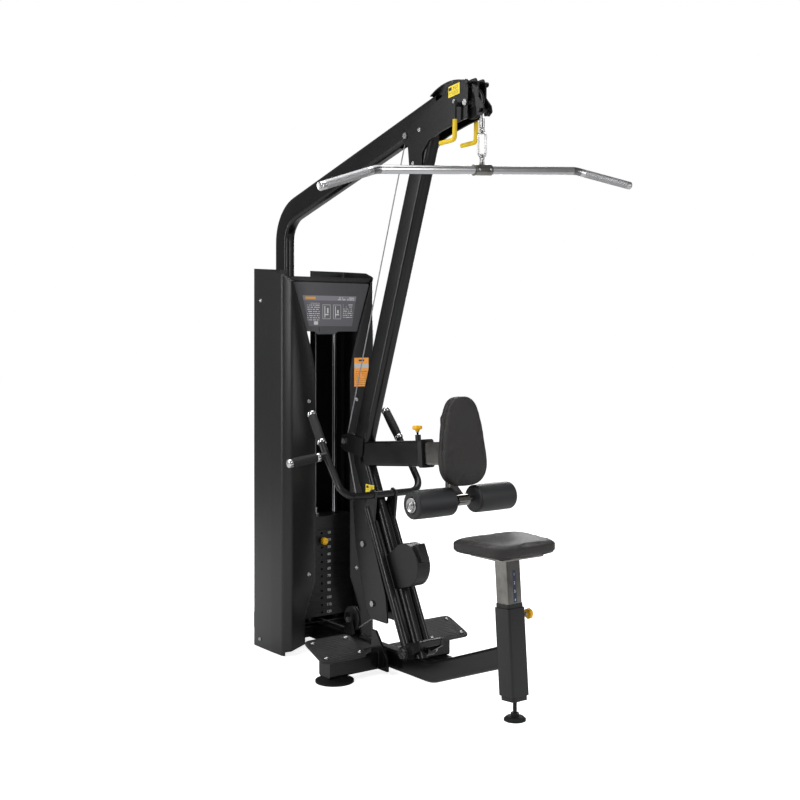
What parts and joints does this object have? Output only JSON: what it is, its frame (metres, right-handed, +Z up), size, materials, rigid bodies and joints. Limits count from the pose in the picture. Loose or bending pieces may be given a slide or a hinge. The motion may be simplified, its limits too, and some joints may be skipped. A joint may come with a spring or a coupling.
{
  "type": "lat pulldown machine",
  "caption": "Weight-stack lat pulldown and seated row machine: overhead bar on a cable, pivoting row handle, chest pad, thigh rollers, adjustable seat, foot plates and shrouded tower.",
  "frame": {"origin": "on the floor under the middle of the machine's bounding box", "axes": "+X to the seated user's right, +Y from the user towards the weight tower, +Z up"},
  "size_m": [1.4403, 1.6568, 2.242],
  "materials": {
    "frame_black": "satin black powder coat",
    "shroud_charcoal": "satin dark charcoal powder coat on folded sheet",
    "placard": "dark grey instruction panel",
    "cover_grey": "grey guard",
    "zinc_hardware": "bright zinc plate",
    "chrome": "chrome plate",
    "satin_steel": "satin chrome, knurled at the grips",
    "black_rubber": "black rubber",
    "knob_orange": "orange-yellow plastic",
    "black_plastic": "black moulded plastic",
    "black_vinyl": "grained black upholstery vinyl",
    "roller_foam": "skinned black foam",
    "iron_plate": "black painted iron",
    "pulley_plastic": "black nylon",
    "steel_rope": "stranded steel rope"
  },
  "bodies": {
    "frame": {"bar_cable": "steel_rope", "bar_hooks": "zinc_hardware", "base_rail": "frame_black", "boom_gussets": "frame_black", "boom_post": "frame_black", "cable_guide": "zinc_hardware", "cable_run": "steel_rope", "chest_pad_tube": "frame_black", "cross_beam": "frame_black", "foot_plates": "black_rubber", "frame_bolts": "zinc_hardware", "guide_rods": "chrome", "hook_sleeves": "knob_orange", "left_shroud": "shroud_charcoal", "pin_housings": "black_plastic", "pivot_shaft": "zinc_hardware", "placard_panel": "placard", "pulley_axles": "zinc_hardware", "pulley_carrier": "frame_black", "pulley_covers": "cover_grey", "resting_plates": "iron_plate", "right_shroud": "shroud_charcoal", "rubber_feet": "black_rubber", "seat_sleeve": "frame_black", "sleeve_collars": "black_plastic", "stack_bumpers": "black_rubber", "stack_cable": "steel_rope", "tower_base": "frame_black", "tower_brackets": "frame_black", "tower_cap": "shroud_charcoal", "upright": "frame_black"},
    "lifted_stack": {"lifted_plates": "iron_plate", "head_plate": "iron_plate", "selector_stem": "chrome"},
    "selector_pin": {"selector_pin": "knob_orange"},
    "cable_end": {"cable_end": "zinc_hardware", "carabiner": "chrome"},
    "bar_hanger": {"bar_hanger": "chrome"},
    "lat_bar": {"lat_bar": "satin_steel"},
    "row_arm": {"row_arm": "frame_black", "row_grips": "black_rubber", "grip_collars": "chrome"},
    "seat": {"seat_tube": "chrome", "seat_cushion": "black_vinyl"},
    "seat_pin": {"seat_pin": "knob_orange"},
    "chest": {"pad_slide": "chrome", "chest_pad": "black_vinyl", "roller_axle": "zinc_hardware"},
    "pad_pin": {"pad_pin": "knob_orange"},
    "left_roller": {"left_roller": "roller_foam"},
    "right_roller": {"right_roller": "roller_foam"},
    "seat_foot": {"seat_foot": "black_rubber"},
    "tip_pulley": {"tip_pulley": "pulley_plastic"},
    "gusset_pulley": {"gusset_pulley": "pulley_plastic"},
    "elbow_pulley": {"elbow_pulley": "pulley_plastic"},
    "upper_carrier_pulley": {"upper_carrier_pulley": "pulley_plastic"},
    "lower_carrier_pulley": {"lower_carrier_pulley": "pulley_plastic"},
    "base_pulley": {"base_pulley": "pulley_plastic"},
    "riser_pulley": {"riser_pulley": "pulley_plastic"},
    "tower_pulley": {"tower_pulley": "pulley_plastic"}
  },
  "joints": [
    {"name": "stack_lift", "type": "slide", "parent": "frame", "child": "lifted_stack", "axis": [0, 0, 1], "range_m": [0, 0.75], "deforming": ["stack_cable"]},
    {"name": "bar_pull", "type": "slide", "parent": "frame", "child": "cable_end", "axis": [0, 0, -1], "range_m": [0, 0.75], "deforming": ["bar_cable"]},
    {"name": "hanger_swivel", "type": "hinge", "parent": "cable_end", "child": "bar_hanger", "pos_m": [0, -0.563, 1.96], "axis": [0, 0, 1], "range_deg": [-75, 75]},
    {"name": "bar_roll", "type": "hinge", "parent": "bar_hanger", "child": "lat_bar", "pos_m": [0, -0.563, 1.903], "axis": [0.9971, 0, 0.0767], "continuous": true},
    {"name": "tip_pulley_spin", "type": "hinge", "parent": "frame", "child": "tip_pulley", "pos_m": [0, -0.511, 2.148], "axis": [1, 0, 0], "range_deg": [-2, 828.38]},
    {"name": "gusset_pulley_spin", "type": "hinge", "parent": "frame", "child": "gusset_pulley", "pos_m": [0, -0.157, 2.076], "axis": [1, 0, 0], "range_deg": [-2, 1132.84]},
    {"name": "elbow_pulley_spin", "type": "hinge", "parent": "frame", "child": "elbow_pulley", "pos_m": [0, 0.261, 0.886], "axis": [1, 0, 0], "range_deg": [-2, 1536.71]},
    {"name": "upper_carrier_pulley_spin", "type": "hinge", "parent": "frame", "child": "upper_carrier_pulley", "pos_m": [0, 0.125, 0.485], "axis": [1, 0, 0], "range_deg": [-2, 1132.84]},
    {"name": "lower_carrier_pulley_spin", "type": "hinge", "parent": "frame", "child": "lower_carrier_pulley", "pos_m": [0, 0.06, 0.258], "axis": [1, 0, 0], "range_deg": [-1132.84, 2]},
    {"name": "base_pulley_spin", "type": "hinge", "parent": "frame", "child": "base_pulley", "pos_m": [0, 0.244, 0.159], "axis": [1, 0, 0], "range_deg": [-936.17, 2]},
    {"name": "riser_pulley_spin", "type": "hinge", "parent": "frame", "child": "riser_pulley", "pos_m": [0, 0.623, 0.149], "axis": [1, 0, 0], "range_deg": [-1195.66, 2]},
    {"name": "tower_pulley_spin", "type": "hinge", "parent": "frame", "child": "tower_pulley", "pos_m": [0, 0.593, 1.47], "axis": [1, 0, 0], "range_deg": [-653.09, 2]},
    {"name": "row_swing", "type": "hinge", "parent": "frame", "child": "row_arm", "pos_m": [0, -0.191, 0.122], "axis": [1, 0, 0], "range_deg": [0, 30]},
    {"name": "seat_height", "type": "slide", "parent": "frame", "child": "seat", "axis": [0, 0.0771, 0.997], "range_m": [-0.1016, 0.0508]},
    {"name": "seat_pin_pull", "type": "slide", "parent": "frame", "child": "seat_pin", "axis": [1, 0, 0], "range_m": [0, 0.012], "stiffness_N_per_m": 900},
    {"name": "pad_reach", "type": "slide", "parent": "frame", "child": "chest", "axis": [0, -0.9966, 0.0819], "range_m": [-0.08, 0.1]},
    {"name": "pad_pin_pull", "type": "slide", "parent": "frame", "child": "pad_pin", "axis": [0, 0.0819, 0.9966], "range_m": [0, 0.012], "stiffness_N_per_m": 900},
    {"name": "left_roller_spin", "type": "hinge", "parent": "chest", "child": "left_roller", "pos_m": [0, -0.451, 0.722], "axis": [1, 0, 0], "continuous": true},
    {"name": "right_roller_spin", "type": "hinge", "parent": "chest", "child": "right_roller", "pos_m": [0, -0.451, 0.722], "axis": [1, 0, 0], "continuous": true},
    {"name": "selector_pin_pull", "type": "slide", "parent": "lifted_stack", "child": "selector_pin", "axis": [0, -1, 0], "range_m": [0, 0.09]},
    {"name": "seat_foot_turn", "type": "hinge", "parent": "frame", "child": "seat_foot", "pos_m": [0, -0.735, 0.02], "axis": [0, 0, 1], "continuous": true}
  ],
  "couplings": [
    {"joint": "bar_pull", "follows": "stack_lift", "ratio": 1},
    {"joint": "tip_pulley_spin", "follows": "stack_lift", "rad_per_m": 19.231},
    {"joint": "gusset_pulley_spin", "follows": "stack_lift", "rad_per_m": 26.316},
    {"joint": "elbow_pulley_spin", "follows": "stack_lift", "rad_per_m": 35.714},
    {"joint": "upper_carrier_pulley_spin", "follows": "stack_lift", "rad_per_m": 26.316},
    {"joint": "lower_carrier_pulley_spin", "follows": "stack_lift", "rad_per_m": -26.316},
    {"joint": "base_pulley_spin", "follows": "stack_lift", "rad_per_m": -21.739},
    {"joint": "riser_pulley_spin", "follows": "stack_lift", "rad_per_m": -27.778},
    {"joint": "tower_pulley_spin", "follows": "stack_lift", "rad_per_m": -15.152}
  ]
}
